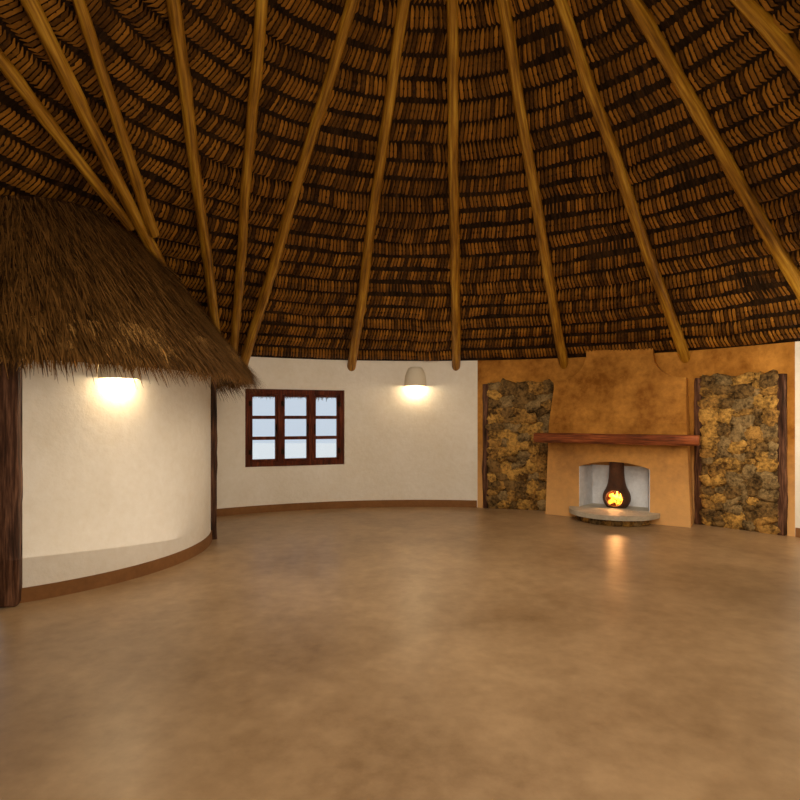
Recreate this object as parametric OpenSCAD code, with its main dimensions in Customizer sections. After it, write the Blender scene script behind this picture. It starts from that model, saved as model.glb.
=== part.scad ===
// Rondavel hut: a round plastered hut with a thatched cone roof on poles,
// an ochre hearth wall with stone panels, and a small thatched porch bay inside the entrance.
// Heights of the building are above the floor's top face, and angles are measured about the hut's axis.

/* [Plan] */
// Radius of the room, to the inner face of the round wall
room_r = 5220; // [4800:10:6000]
// Thickness of the round wall
wall_t = 300; // [220:10:400]
// Thickness of the floor slab, which the walls stand on
floor_t = 80; // [60:5:150]
// Height of the round wall at its inner face
wall_h = 2300; // [2250:10:2500]

/* [Roof] */
// Slope of the roof, in degrees
pitch = 38; // [36:0.5:42]
// Thickness of the thatch, square to the slope
thatch_t = 250; // [150:10:350]
// How far the thatch runs out past the wall
eave = 420; // [250:10:600]
// Full turn of the roof poles, in poles
pole_places = 20; // [18:1:22]
// Angle of the first roof pole
pole_turn = 12; // [10:0.5:14]
// Radius of a roof pole at its foot
pole_foot_r = 62; // [50:1:70]
// Radius of a roof pole at its head
pole_head_r = 42; // [35:1:45]
// Distance from the hut's axis to the head of each pole
head_r = 340; // [330:5:420]
// How far a pole's foot reaches into the wall
foot_in = 200; // [120:5:210]
// Radius of the cap on the peak of the thatch
cap_r = 620; // [450:10:800]

/* [Hearth] */
// Angle of the hearth's middle
hearth_turn = 57.2; // [56.5:0.1:58]
// Half the angle of the ochre hearth wall
hearth_half = 23.1; // [22.5:0.1:24]
// Width of the chimney at the floor
breast_w = 1900; // [1800:10:2000]
// Width of the chimney where it enters the thatch
stack_w = 900; // [800:10:960]
// How far the chimney stands out of the wall
breast_d = 450; // [420:10:520]
// Height at which the chimney starts to narrow
shoulder_h = 1930; // [1800:10:2000]
// Height at which the chimney's front starts to lean back
lean_h = 1330; // [1250:10:1450]
// How far the stack stands in front of the round wall's inner face
stack_out = 130; // [100:5:200]
// Depth of the stack, which stands partly in the wall
stack_d = 380; // [360:5:410]
// Height of the chimney's top
stack_h = 4150; // [3900:10:4600]
// Width of the fire opening at the front
fire_w = 930; // [820:10:1000]
// Height of the fire opening's sides
fire_side_h = 570; // [520:10:600]
// Rise of the arch over the fire opening
fire_rise = 80; // [50:5:110]
// Depth of the fire opening
fire_d = 390; // [370:5:410]
// Radius of the flue
flue_r = 115; // [100:5:130]
// Height of the hearth's top
hearth_h = 150; // [120:5:200]
// Thickness of the hearth slab
hearth_t = 60; // [40:5:90]
// How far the hearth slab stands out in front of the chimney
hearth_out = 560; // [450:10:580]
// Length of the mantel
mantel_l = 2120; // [2000:10:2200]
// Depth of the mantel
mantel_d = 210; // [160:5:260]
// Thickness of the mantel
mantel_t = 135; // [100:5:160]
// Height of the mantel's top
mantel_h = 1185; // [1120:5:1300]
// Height of the stone panels
panel_h = 1930; // [1800:10:1980]
// Depth of the recess that a stone panel fills
panel_in = 60; // [40:5:90]
// How far the stones and their posts stand out of the wall
panel_out = 25; // [10:5:40]
// Width of the timber post beside a stone panel
post_w = 85; // [60:5:110]

/* [Stove] */
// Radius of the clay stove's belly
pot_r = 185; // [165:5:190]
// Radius of the stove's foot
pot_foot_r = 120; // [100:5:130]
// Radius of the stove's neck
neck_r = 58; // [50:2:70]
// Thickness of the clay
clay_t = 22; // [18:1:28]
// Radius of the stove's mouth
mouth_r = 118; // [100:2:124]
// Height of the stove's neck above the hearth
neck_h = 780; // [760:10:900]

/* [Windows and doorways] */
// Angles of the windows' middles
window_turns = [111.5, 345, 265]; // [0:0.5:360]
// Width of a window opening
window_w = 1500; // [1300:10:1560]
// Height of a window opening
window_h = 1150; // [1000:10:1200]
// Height of a window's sill
sill_h = 680; // [620:10:760]
// Width of a window frame's timber
frame_w = 75; // [60:5:95]
// Depth of a window frame's timber
frame_d = 75; // [60:5:95]
// Thickness of the glass
glass_t = 6; // [4:1:8]
// Angle of the entrance's middle
entrance_turn = 154.5; // [153.5:0.1:155.5]
// Width of the entrance opening
entrance_w = 1000; // [900:10:1050]
// Height of the entrance opening
entrance_h = 1950; // [1880:10:1960]
// Width of the entrance frame's timber
jamb_w = 60; // [50:5:80]
// Depth of the entrance frame's timber
jamb_d = 140; // [100:5:200]

/* [Porch bay] */
// Distance from the round wall's inner face in to the middle of the porch bay
porch_in = 225; // [160:5:320]
// Radius of the porch bay, to the face of its wall in the room
porch_r = 2090; // [2000:10:2150]
// Thickness of the porch wall
porch_wall_t = 200; // [160:10:240]
// Slope of the porch hood, in degrees
hood_pitch = 52; // [50:0.5:54]
// Thickness of the hood's thatch
hood_t = 200; // [150:10:220]
// How far the hood's eave runs out past the porch wall
hood_out = 410; // [360:10:460]
// Height of the upper edge of the hood's eave
hood_h = 1950; // [1930:5:1980]
// Angle of the inner doorway, about the porch bay's own middle
inner_turn = -67; // [-69:0.5:-65]
// Clear width of the inner doorway
inner_w = 850; // [780:10:900]
// Clear height of the inner doorway
inner_h = 1920; // [1850:10:1930]
// Width of the rough posts of the inner doorway
rough_w = 140; // [110:5:160]

/* [Lamps] */
// Radius of a plastered wall lamp at its rim
lamp_r = 175; // [140:5:200]
// Height of a plastered wall lamp
lamp_h = 300; // [240:10:340]
// Height of a wall lamp's rim
lamp_rim_h = 1900; // [1800:10:1930]

/* [Hidden] */

white = [0.90, 0.86, 0.78];
ochre = [0.80, 0.55, 0.28];
cement = [0.72, 0.62, 0.48];
grass = [0.48, 0.34, 0.17];
pole_wood = [0.66, 0.42, 0.18];
red_wood = [0.36, 0.15, 0.08];
dark_wood = [0.24, 0.14, 0.10];
rock = [0.46, 0.40, 0.30];
clay = [0.42, 0.30, 0.24];
sky_glass = [0.75, 0.85, 0.88, 0.4];

// Gap left where one piece seats on another
seat = 0.5;
// Extra length of a cutting shape past the face that it cuts
past = 50;

wall_r = room_r + wall_t;
peak_h = wall_h + room_r * tan(pitch);
thatch_rise = thatch_t / cos(pitch);
eave_r = wall_r + eave;
// Height of the thatch's underside at a distance from the axis
function under(r) = peak_h - r * tan(pitch);

// Centre line of a roof pole, which lies against the thatch
function axis_h(r, pole_r) = under(r) - (pole_r + seat) / cos(pitch);
// Depth of the layer that the poles fill under the thatch
pole_layer = 2 * (pole_foot_r + seat) / cos(pitch) + 15;

porch_far = room_r - porch_in;
hood_r = porch_r + hood_out;
porch_x = porch_far * cos(entrance_turn);
porch_y = porch_far * sin(entrance_turn);
// Height of the hood's underside at a distance from the porch bay's middle
function hood_under(r) = hood_h - hood_t / cos(hood_pitch) + (hood_r - r) * tan(hood_pitch);

breast_x = room_r - breast_d;
stack_x = room_r - stack_out;
flue_x = stack_x + stack_d / 2;
// Height at which the stack starts to reach back into the wall
notch_h = 1560;
pot_x = breast_x + pot_r + 15;
window_x = room_r - 22;

// Angle that a width spans on the wall's inner face
function spans(w) = 2 * asin(w / 2 / room_r);
hearth_from = hearth_turn - hearth_half;
hearth_to = hearth_turn + hearth_half;
breast_half = spans(breast_w) / 2 + 0.15;
post_turn = spans(post_w);
// Angle of plain wall left at each end of the hearth wall, and the gap kept between pieces set side by side
edge_turn = 0.9;
gap_turn = 0.01;

// Where each stretch of the round wall ends
lamp_bay_to = 100;
window_bay_to = 128;
porch_left_to = 186;
west_to = 250;
rear_window_to = 280;
rear_right_to = 328;
east_window_to = 362;

// Roof poles that the corner poles stand in for
first_open = 7;
last_open = 9;
pole_step = 360 / pole_places;
pole_turns = [for (k = [0 : pole_places - 1]) if (k < first_open || k > last_open) pole_turn + pole_step * k];

// Corner poles, which fan out from the end of the porch hood, each with the place of its foot and head
// and its radius. The last two rest against the third pole, part of the way up it.
corner_foot_r = room_r + 60;
corner_thin = 0.85;
function on_thatch(a, r, pole_r) = [r * cos(a), r * sin(a), axis_h(r, pole_r)];
function beside(p, up, side, pole_r) = let (
    run = p[1] - p[0],
    across = [-run[1], run[0], 0] / norm([run[0], run[1]]),
    here_r = p[2] * (1 - (1 - corner_thin) * up))
    p[0] + up * run + side * (here_r + pole_r + seat) * across;
long_pole = [on_thatch(125.4, corner_foot_r, 54), on_thatch(188.7, room_r - 2495, 54), 54];
wall_corner_poles = [
    [on_thatch(121.6, corner_foot_r, 50), on_thatch(154.0, room_r - 3670, 50), 50],
    [on_thatch(123.5, corner_foot_r, 52), on_thatch(172.6, room_r - 3205, 52), 52],
    long_pole
];
side_corner_poles = [
    [beside(long_pole, 0.52, 1, 42), on_thatch(184.4, room_r - 2730, 42), 42],
    [beside(long_pole, 0.54, -1, 42), on_thatch(185.4, room_r - 2150, 42), 42]
];
corner_list = concat(wall_corner_poles, side_corner_poles);

module raised() { translate([0, 0, floor_t]) children(); }
module at_turn(a) { rotate([0, 0, a]) children(); }
module in_porch() { translate([porch_x, porch_y, 0]) children(); }

// A pole between two points, thicker by clear all round and at both ends
module pole_between(a, b, foot_r, top_r, clear = 0) {
    run = b - a;
    len = norm(run);
    turn = atan2(run[1], run[0]);
    tilt = acos(run[2] / len);
    translate(a) rotate([0, tilt, turn]) translate([0, 0, -clear])
        cylinder(h = len + 2 * clear, r1 = foot_r + clear, r2 = top_r + clear, $fn = 48);
}

module roof_pole(clear = 0) {
    foot = room_r + foot_in;
    pole_between([foot, 0, axis_h(foot, pole_foot_r)], [head_r, 0, axis_h(head_r, pole_head_r)],
        pole_foot_r, pole_head_r, clear);
}

module corner_pole(p, clear = 0) { pole_between(p[0], p[1], p[2], p[2] * corner_thin, clear); }

// The grooves that the feet of all poles need in the top of the wall
module pole_grooves(from, to) {
    for (t = pole_turns, a = [t, t + 360]) if (a > from - 2 && a < to + 2) at_turn(a) roof_pole(seat);
    for (p = wall_corner_poles) let (a = atan2(p[0][1], p[0][0]))
        if (a > from - 2 && a < to + 2) corner_pole(p, seat);
}

module wall_arc(from, to) {
    at_turn(from) rotate_extrude(angle = to - from, $fn = 240)
        polygon([[room_r, 0], [wall_r, 0], [wall_r, under(wall_r) - seat], [room_r, under(room_r) - seat]]);
}

// A stretch of the round wall with grooves for the poles
module wall_stretch(from, to) {
    color(white) raised() difference() {
        wall_arc(from, to);
        pole_grooves(from, to);
        children();
    }
}

module window_hole(a) {
    at_turn(a) translate([room_r - 4 * past, -window_w / 2, sill_h])
        cube([wall_t + 8 * past, window_w, window_h]);
}

module entrance_hole(top) {
    at_turn(entrance_turn) translate([room_r - 4 * past, -entrance_w / 2, -past])
        cube([wall_t + 8 * past, entrance_w, top + past]);
}

module floor_slab() { color(cement) cylinder(h = floor_t, r = wall_r, $fn = 240); }

module wall_lamp_bay() { wall_stretch(hearth_to, lamp_bay_to); }
module wall_window() { wall_stretch(lamp_bay_to, window_bay_to) window_hole(window_turns[0]); }
module wall_porch_right() { wall_stretch(window_bay_to, entrance_turn) entrance_hole(2 * wall_h); }
module wall_porch_left() { wall_stretch(entrance_turn, porch_left_to) entrance_hole(2 * wall_h); }
module wall_west() { wall_stretch(porch_left_to, west_to); }
module wall_rear_window() { wall_stretch(west_to, rear_window_to) window_hole(window_turns[2]); }
module wall_rear_right() { wall_stretch(rear_window_to, rear_right_to); }
module wall_east_window() { wall_stretch(rear_right_to, east_window_to) window_hole(window_turns[1]); }
module wall_east() { wall_stretch(east_window_to, 360 + hearth_from); }

module entrance_lintel() {
    color(white) raised() intersection() {
        wall_arc(entrance_turn - spans(entrance_w), entrance_turn + spans(entrance_w));
        at_turn(entrance_turn) translate([room_r - past, -entrance_w / 2, entrance_h])
            cube([wall_t + 2 * past, entrance_w, wall_h]);
    }
}

// The recess of a stone panel, between two angles, with its posts
module panel_recess(from, to) {
    at_turn(from) rotate_extrude(angle = to - from, $fn = 240)
        polygon([[room_r - past, -past], [room_r + panel_in, -past],
            [room_r + panel_in, panel_h], [room_r - past, panel_h]]);
}

module panel_arc(from, to, height, out) {
    at_turn(from) rotate_extrude(angle = to - from, $fn = 240)
        polygon([[room_r - out, 0], [room_r + panel_in - seat, 0],
            [room_r + panel_in - seat, height], [room_r - out, height]]);
}

module wall_hearth() {
    color(ochre) raised() difference() {
        wall_arc(hearth_from, hearth_to);
        pole_grooves(hearth_from, hearth_to);
        panel_recess(hearth_from + edge_turn, hearth_turn - breast_half);
        panel_recess(hearth_turn + breast_half, hearth_to - edge_turn);
        at_turn(hearth_turn) stack_block(notch_h, stack_h, seat);
    }
}

module stone_panel_right() {
    color(rock) raised()
        panel_arc(hearth_from + edge_turn + 2 * gap_turn + post_turn,
            hearth_turn - breast_half - 2 * gap_turn - post_turn, panel_h - seat, panel_out);
}

module stone_panel_left() {
    color(rock) raised()
        panel_arc(hearth_turn + breast_half + 2 * gap_turn,
            hearth_to - edge_turn - 2 * gap_turn - post_turn, panel_h - seat, panel_out);
}

module hearth_posts() {
    color(dark_wood) raised() {
        panel_arc(hearth_from + edge_turn + gap_turn, hearth_from + edge_turn + post_turn,
            panel_h - seat, 2 * panel_out);
        panel_arc(hearth_turn - breast_half - post_turn, hearth_turn - breast_half - gap_turn,
            panel_h - seat, 2 * panel_out);
        panel_arc(hearth_to - edge_turn - post_turn, hearth_to - edge_turn - gap_turn,
            panel_h - seat, 2 * panel_out);
    }
}

// Front outline of the chimney's breast, with rounded shoulders
shoulder_rise = 330;
shoulder_w = breast_w - 150;
module breast_outline() {
    half = breast_w / 2;
    top = shoulder_w / 2;
    neck = stack_w / 2 + 10;
    curve = [for (i = [0 : 6]) let (a = 15 * i)
        [neck + (top - neck) * (1 - sin(a)), shoulder_h + shoulder_rise * (1 - cos(a))]];
    right = concat([[half, 0]], curve, [[neck, wall_h + past]]);
    left = [for (i = [len(right) - 1 : -1 : 0]) [-right[i][0], right[i][1]]];
    polygon(concat(right, left));
}

// The fire opening: narrower at the back by the splay, arched in front view
fire_splay = 170;
module fire_opening() {
    arch_r = (pow(fire_w / 2, 2) + pow(fire_rise, 2)) / (2 * fire_rise);
    back_w = fire_w - fire_splay;
    intersection() {
        translate([0, 0, hearth_h]) linear_extrude(fire_side_h + 2 * fire_rise)
            polygon([[breast_x - past, -fire_w / 2], [breast_x, -fire_w / 2],
                [breast_x + fire_d, -back_w / 2], [breast_x + fire_d, back_w / 2],
                [breast_x, fire_w / 2], [breast_x - past, fire_w / 2]]);
        translate([breast_x - 2 * past, 0, hearth_h + fire_side_h + fire_rise - arch_r])
            rotate([0, 90, 0]) cylinder(h = breast_d + 4 * past, r = arch_r, $fn = 180);
    }
}

// The stack, grown on all sides by a gap where it cuts its way through the wall and the thatch
module stack_block(from, to, gap = 0) {
    translate([stack_x - gap, -stack_w / 2 - gap, from - gap])
        cube([stack_d + 2 * gap, stack_w + 2 * gap, to - from + gap]);
}

// The flue: up from the stove, back with the leaning front, then up the stack; the leaning part is narrower
throat = 6;
module flue() {
    low = [pot_x, 0, hearth_h + fire_side_h + fire_rise + past];
    high = [flue_x, 0, wall_h - past];
    run = high - low;
    translate([pot_x, 0, hearth_h + past]) cylinder(h = low[2] - hearth_h, r = flue_r, $fn = 64);
    translate(low) rotate([0, acos(run[2] / norm(run)), 0])
        cylinder(h = norm(run) + past, r = flue_r - throat, $fn = 64);
    translate([flue_x, 0, high[2]]) cylinder(h = stack_h + 2 * past - high[2], r = flue_r, $fn = 64);
}

// Height at which the breast ends and the stack goes on
stack_from = wall_h + 2 * past;
module chimney() {
    breast_top = shoulder_h + shoulder_rise + 10;
    color(ochre) raised() difference() {
        union() {
            intersection() {
                translate([breast_x, 0, 0]) rotate([90, 0, 90]) linear_extrude(breast_d) breast_outline();
                cylinder(r = room_r - seat, h = breast_top, $fn = 240);
                translate([0, breast_w, 0]) rotate([90, 0, 0]) linear_extrude(2 * breast_w)
                    polygon([[breast_x, 0], [room_r, 0], [room_r, wall_h], [stack_x, wall_h], [breast_x, lean_h]]);
            }
            stack_block(notch_h, stack_from - seat);
        }
        fire_opening();
        flue();
    }
}

module chimney_turned() { at_turn(hearth_turn) chimney(); }

module chimney_stack() {
    color(ochre) raised() at_turn(hearth_turn) difference() {
        stack_block(stack_from, stack_h);
        flue();
    }
}

cap_out = 55;
cap_t = 90;
module chimney_cap() {
    color(ochre) raised() at_turn(hearth_turn) difference() {
        translate([stack_x - cap_out, -stack_w / 2 - cap_out, stack_h])
            cube([stack_d + 2 * cap_out, stack_w + 2 * cap_out, cap_t]);
        flue();
    }
}

// Plan of the hearth in front of the chimney: a shallow curve
module hearth_plan(w, out) {
    bow_r = (pow(w / 2, 2) + pow(out, 2)) / (2 * out);
    intersection() {
        translate([breast_x - out, -w / 2]) square([out, w]);
        translate([breast_x - out + bow_r, 0]) circle(r = bow_r, $fn = 120);
    }
}

hearth_w = 1180;
// How far the base stands back under the slab
base_in = 125;
module hearth_slab() {
    color(cement) raised() at_turn(hearth_turn)
        translate([0, 0, hearth_h - hearth_t]) linear_extrude(hearth_t) hearth_plan(hearth_w, hearth_out);
}

module hearth_base() {
    color(rock) raised() at_turn(hearth_turn)
        linear_extrude(hearth_h - hearth_t) hearth_plan(hearth_w - 2 * base_in, hearth_out - base_in);
}

// Outline of the stove's wall, from the foot over the belly to the neck
pot_mid_h = sqrt(pow(pot_r, 2) - pow(pot_foot_r, 2));
module pot_profile(r, foot, neck, top) {
    low = -asin(pot_mid_h / pot_r);
    high = acos(neck * 1.5 / r);
    belly = [for (i = [0 : 12]) let (a = low + (high - low) * i / 12) [r * cos(a), pot_mid_h + r * sin(a)]];
    polygon(concat([[0, belly[0][1]]], belly, [[neck, belly[12][1] + neck], [neck, top], [0, top]]));
}

module stove_pot() {
    color(clay) raised() at_turn(hearth_turn) translate([pot_x, 0, hearth_h]) difference() {
        rotate_extrude($fn = 96) pot_profile(pot_r, pot_foot_r, neck_r, neck_h);
        difference() {
            rotate_extrude($fn = 96) pot_profile(pot_r - clay_t, pot_foot_r - clay_t, neck_r - clay_t, neck_h + past);
            translate([-pot_r, -pot_r, -past]) cube([2 * pot_r, 2 * pot_r, past + clay_t]);
        }
        translate([0, 0, pot_mid_h]) rotate([0, -90, 0]) cylinder(h = pot_r + past, r = mouth_r, $fn = 64);
    }
}

// The mantel beam has a small chamfer along its lower front edge
mantel_cut = 22;
module mantel() {
    color(red_wood) raised() at_turn(hearth_turn)
        translate([breast_x, mantel_l / 2, mantel_h]) rotate([90, 0, 0]) linear_extrude(mantel_l)
            polygon([[0, 0], [-mantel_d, 0], [-mantel_d, mantel_cut - mantel_t],
                [mantel_cut - mantel_d, -mantel_t], [0, -mantel_t]]);
}

// A window frame with two upright bars, and the three sheets of glass in it
light_w = (window_w - 2 * seat - 4 * frame_w) / 3;
module window_lights(gap, depth) {
    for (k = [0 : 2])
        translate([-window_w / 2 + seat + frame_w + gap + k * (light_w + frame_w), sill_h + seat + frame_w + gap])
            square([light_w - 2 * gap, window_h - 2 * seat - 2 * frame_w - 2 * gap]);
}

module frame_at(a) {
    color(red_wood) raised() at_turn(a) translate([window_x, 0, 0]) rotate([90, 0, 90])
        linear_extrude(frame_d) difference() {
            translate([-window_w / 2 + seat, sill_h + seat])
                square([window_w - 2 * seat, window_h - 2 * seat]);
            window_lights(0);
        }
}

module window_frame() { frame_at(window_turns[0]); }
module east_window_frame() { frame_at(window_turns[1]); }
module rear_window_frame() { frame_at(window_turns[2]); }

module window_glass() {
    color(sky_glass) raised() for (a = window_turns)
        at_turn(a) translate([window_x + frame_d / 2, 0, 0]) rotate([90, 0, 90])
            linear_extrude(glass_t) window_lights(seat);
}

module entrance_frame() {
    frame_x = room_r + (wall_t - jamb_d) / 2;
    color(dark_wood) raised() at_turn(entrance_turn) translate([frame_x, 0, 0]) rotate([90, 0, 90])
        linear_extrude(jamb_d) difference() {
            translate([-entrance_w / 2 + seat, 0]) square([entrance_w - 2 * seat, entrance_h - seat]);
            translate([-entrance_w / 2 + jamb_w, -past])
                square([entrance_w - 2 * jamb_w, entrance_h - jamb_w + past]);
        }
}

// The room below the layer of roof poles, which clips what stands in it
module room_space() {
    top = pole_layer + 5;
    rotate_extrude($fn = 240)
        polygon([[0, 0], [room_r - seat, 0], [room_r - seat, under(room_r) - top], [0, peak_h - top]]);
}

inner_hole_w = inner_w + 2 * rough_w;
module porch_arc(from, to) {
    at_turn(from) rotate_extrude(angle = to - from, $fn = 180)
        polygon([[porch_r - porch_wall_t, 0], [porch_r, 0], [porch_r, hood_under(porch_r) - seat],
            [porch_r - porch_wall_t, hood_under(porch_r - porch_wall_t) - seat]]);
}

module porch_stretch(from, to) {
    color(white) raised() difference() {
        intersection() {
            in_porch() porch_arc(from, to);
            room_space();
        }
        in_porch() at_turn(inner_turn)
            translate([porch_r - 2 * porch_wall_t, -inner_hole_w / 2 - seat, -past])
                cube([4 * porch_wall_t, inner_hole_w + 2 * seat, 2 * hood_h]);
        for (p = corner_list) corner_pole(p, seat);
    }
}

// The porch wall's stretches, which run into the round wall at both ends
porch_split = 5;
porch_ends = [entrance_turn - 275, entrance_turn - 85];
module porch_wall_front() { porch_stretch(inner_turn, porch_split); }
module porch_wall_side() { porch_stretch(porch_split, porch_ends[1]); }
module porch_wall_left() { porch_stretch(porch_ends[0], inner_turn); }

// Two rough posts and a head beam, standing a little proud of the porch wall
rough_proud = 20;
rough_d = porch_wall_t + 3 * rough_proud;
rough_x = porch_r - porch_wall_t - rough_proud;
module inner_door_posts() {
    head_top = hood_under(rough_x + rough_d) - 24 * seat;
    color(dark_wood) raised() in_porch() at_turn(inner_turn) translate([rough_x, 0, 0])
        rotate([90, 0, 90]) linear_extrude(rough_d) difference() {
            translate([-inner_hole_w / 2, 0]) square([inner_hole_w, head_top]);
            translate([-inner_w / 2, -past]) square([inner_w, inner_h + past]);
        }
}

// The hood: a cone of thatch round the porch bay, cut where it meets the roof
module porch_hood() {
    lip = [hood_r - hood_t * sin(hood_pitch), hood_h - hood_t * cos(hood_pitch)];
    inner_r = 500;
    color(grass) raised() difference() {
        intersection() {
            in_porch() at_turn(entrance_turn) rotate_extrude($fn = 180) polygon([
                lip, [hood_r, hood_h],
                [inner_r, hood_h + (hood_r - inner_r) * tan(hood_pitch)],
                [inner_r, hood_under(inner_r)]]);
            room_space();
        }
        for (p = corner_list) corner_pole(p, 2 * seat);
    }
}

// Turns of the wall lamps: on the round wall, and on the porch wall about its own middle
lamp_turns = [91, 24];
porch_lamp_turn = -32;
// How much lower the porch lamp hangs, the thickness of the shades and the share of their flat crown
porch_lamp_drop = 170;
lamp_t = 17;
lamp_crown = 0.45;
module lamp_shade() {
    crown_r = lamp_r * lamp_crown;
    profile = [for (i = [0 : 8]) let (a = 90 * i / 8) [crown_r + (lamp_r - crown_r) * cos(a), lamp_h * sin(a)]];
    inside = [for (i = [8 : -1 : 0]) [profile[i][0] - lamp_t, profile[i][1] - (i > 0 ? lamp_t : 0)]];
    rotate([0, 0, 90]) rotate_extrude(angle = 180, $fn = 64)
        polygon(concat(profile, [[0, lamp_h], [0, lamp_h - lamp_t]], inside));
}

module wall_lamps() {
    back = sqrt(pow(room_r, 2) - pow(lamp_r, 2)) - seat;
    color(white) raised() {
        for (a = lamp_turns) at_turn(a) translate([back, 0, lamp_rim_h]) lamp_shade();
        in_porch() at_turn(porch_lamp_turn) translate([porch_r + seat, 0, lamp_rim_h - porch_lamp_drop])
            rotate([0, 0, 180]) lamp_shade();
    }
}

module roof_poles() { color(pole_wood) raised() for (a = pole_turns) at_turn(a) roof_pole(); }
module corner_poles() { color(pole_wood) raised() for (p = corner_list) corner_pole(p); }

// Turned block at the peak, its side square to the poles that butt against it and a little longer than they
hub_past = 30;
module roof_hub() {
    mid = [head_r - 2 * seat, axis_h(head_r, pole_head_r)];
    along = [sin(pitch), cos(pitch)];
    low = mid - (pole_head_r + hub_past) * along;
    high = mid + (pole_head_r - seat) * along;
    color(pole_wood) raised() rotate_extrude($fn = 96)
        polygon([[0, low[1] - 2 * hub_past], [low[0] - 2 * hub_past, low[1] - 2 * hub_past], low, high,
            [0, under(0) - 3 * seat]]);
}

hub_hole_r = 200;
thatch_pieces = 8;
// One share of the thatch round the roof; the first is over the hearth
module thatch_piece(k) {
    piece_turn = 360 / thatch_pieces;
    color(grass) raised() difference() {
        at_turn(hearth_turn + (k - 0.5) * piece_turn) rotate_extrude(angle = piece_turn, $fn = 240) polygon([
            [hub_hole_r, under(hub_hole_r)], [eave_r, under(eave_r)],
            [eave_r + thatch_t * sin(pitch), under(eave_r) + thatch_t * cos(pitch)],
            [hub_hole_r, under(hub_hole_r) + thatch_rise]]);
        children();
    }
}

module stack_hole() { at_turn(hearth_turn) stack_block(notch_h, stack_h, 3); }

// The eave is trimmed back over the entrance, so that people pass under it
trim_w = 1.4 * entrance_w;
trim_out = 25;
module entrance_trim() {
    at_turn(entrance_turn) translate([wall_r + trim_out, -trim_w / 2, 0]) cube([3 * eave, trim_w, wall_h]);
}

module thatch_hearth() { thatch_piece(0) stack_hole(); }
module thatch_window() { thatch_piece(1); }
module thatch_porch() { thatch_piece(2) entrance_trim(); }
module thatch_west() { thatch_piece(3); }
module thatch_southwest() { thatch_piece(4); }
module thatch_south() { thatch_piece(5); }
module thatch_southeast() { thatch_piece(6); }
module thatch_east() { thatch_piece(7); }

// The cap closes the peak and laps over the thatch
peak_cap_t = 110;
// Radius of the bound knot of grass on top of it
knot_r = 120;
module thatch_cap() {
    skin = thatch_rise + 2 * seat;
    color(grass) raised() rotate_extrude($fn = 96) polygon([
        [0, under(0) + seat], [hub_hole_r - seat, under(hub_hole_r) + seat],
        [hub_hole_r - seat, under(hub_hole_r - seat) + skin], [cap_r, under(cap_r) + skin],
        [cap_r + peak_cap_t * sin(pitch), under(cap_r) + skin + peak_cap_t * cos(pitch)],
        [knot_r, under(knot_r) + skin + peak_cap_t * 1.5], [knot_r / 2, under(0) + skin + peak_cap_t * 1.7],
        [0, under(0) + skin + peak_cap_t * 2]]);
}

floor_slab();
wall_hearth();
wall_lamp_bay();
wall_window();
wall_porch_right();
entrance_lintel();
wall_porch_left();
wall_west();
wall_rear_window();
wall_rear_right();
wall_east_window();
wall_east();
chimney_turned();  // chimney
chimney_stack();
chimney_cap();
hearth_slab();
hearth_base();
stove_pot();
mantel();
stone_panel_left();
stone_panel_right();
hearth_posts();
window_frame();
east_window_frame();
rear_window_frame();
window_glass();
entrance_frame();
inner_door_posts();
porch_wall_front();
porch_wall_side();
porch_wall_left();
porch_hood();
wall_lamps();
roof_poles();
corner_poles();
roof_hub();
thatch_cap();
thatch_hearth();
thatch_window();
thatch_porch();
thatch_west();
thatch_southwest();
thatch_south();
thatch_southeast();
thatch_east();
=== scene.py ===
"""Looks of a rondavel hut: rope-bound thatch on bent poles, white and ochre plaster, field stone,
stained timber and a clay stove. The camera stands in the room."""
import random
from math import atan2, cos, hypot, pi, radians, sin, sqrt, tan

import bpy
from mathutils import Matrix, Vector


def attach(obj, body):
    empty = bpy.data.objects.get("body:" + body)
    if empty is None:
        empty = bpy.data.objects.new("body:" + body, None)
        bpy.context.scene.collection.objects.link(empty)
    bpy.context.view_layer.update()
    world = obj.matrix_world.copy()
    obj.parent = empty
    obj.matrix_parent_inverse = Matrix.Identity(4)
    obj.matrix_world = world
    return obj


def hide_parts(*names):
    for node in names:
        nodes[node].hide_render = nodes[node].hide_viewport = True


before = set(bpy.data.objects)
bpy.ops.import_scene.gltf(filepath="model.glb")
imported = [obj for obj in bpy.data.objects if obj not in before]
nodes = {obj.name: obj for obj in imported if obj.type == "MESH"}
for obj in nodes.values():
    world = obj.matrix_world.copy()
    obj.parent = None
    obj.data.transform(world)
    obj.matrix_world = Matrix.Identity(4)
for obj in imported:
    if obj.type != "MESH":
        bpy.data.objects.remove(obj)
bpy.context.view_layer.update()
draw = random.Random(11)


def polar(far, turn, height=0.0):
    """A point at a distance and a turn about an upright axis."""
    return Vector((far * cos(turn), far * sin(turn), height))


# ---- sizes shared with the solids, in metres and radians ----

FLOOR_TOP = 0.08
ROOM_R = 5.22
WALL_TOP = FLOOR_TOP + 2.30
PITCH = radians(38)
THATCH_T = 0.25
EAVE_R = 5.94
EAVE_TRIM = 0.7  # half the width trimmed over the entrance
PEAK = WALL_TOP + ROOM_R * tan(PITCH)
HEARTH_TURN = radians(57.2)
BREAST_X = 4.77
HEARTH_TOP = FLOOR_TOP + 0.15
PANEL_H = 1.93
PORCH_TURN = radians(154.5)
PORCH = polar(4.995, PORCH_TURN)
PORCH_R = 2.09
HOOD_PITCH = radians(52)
HOOD_R = 2.5
HOOD_TOP = FLOOR_TOP + 1.95
WINDOW_TURNS = [radians(a) for a in (111.5, 345, 265)]
WINDOW_X = 5.198
SILL = FLOOR_TOP + 0.68
WINDOW_W = 1.5
WINDOW_H = 1.15
FRAME_W = 0.075


def roof_under(r):
    """Height of the thatch's underside at a distance from the hut's axis."""
    return PEAK - r * tan(PITCH)


# ---- shader helpers ----

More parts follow.
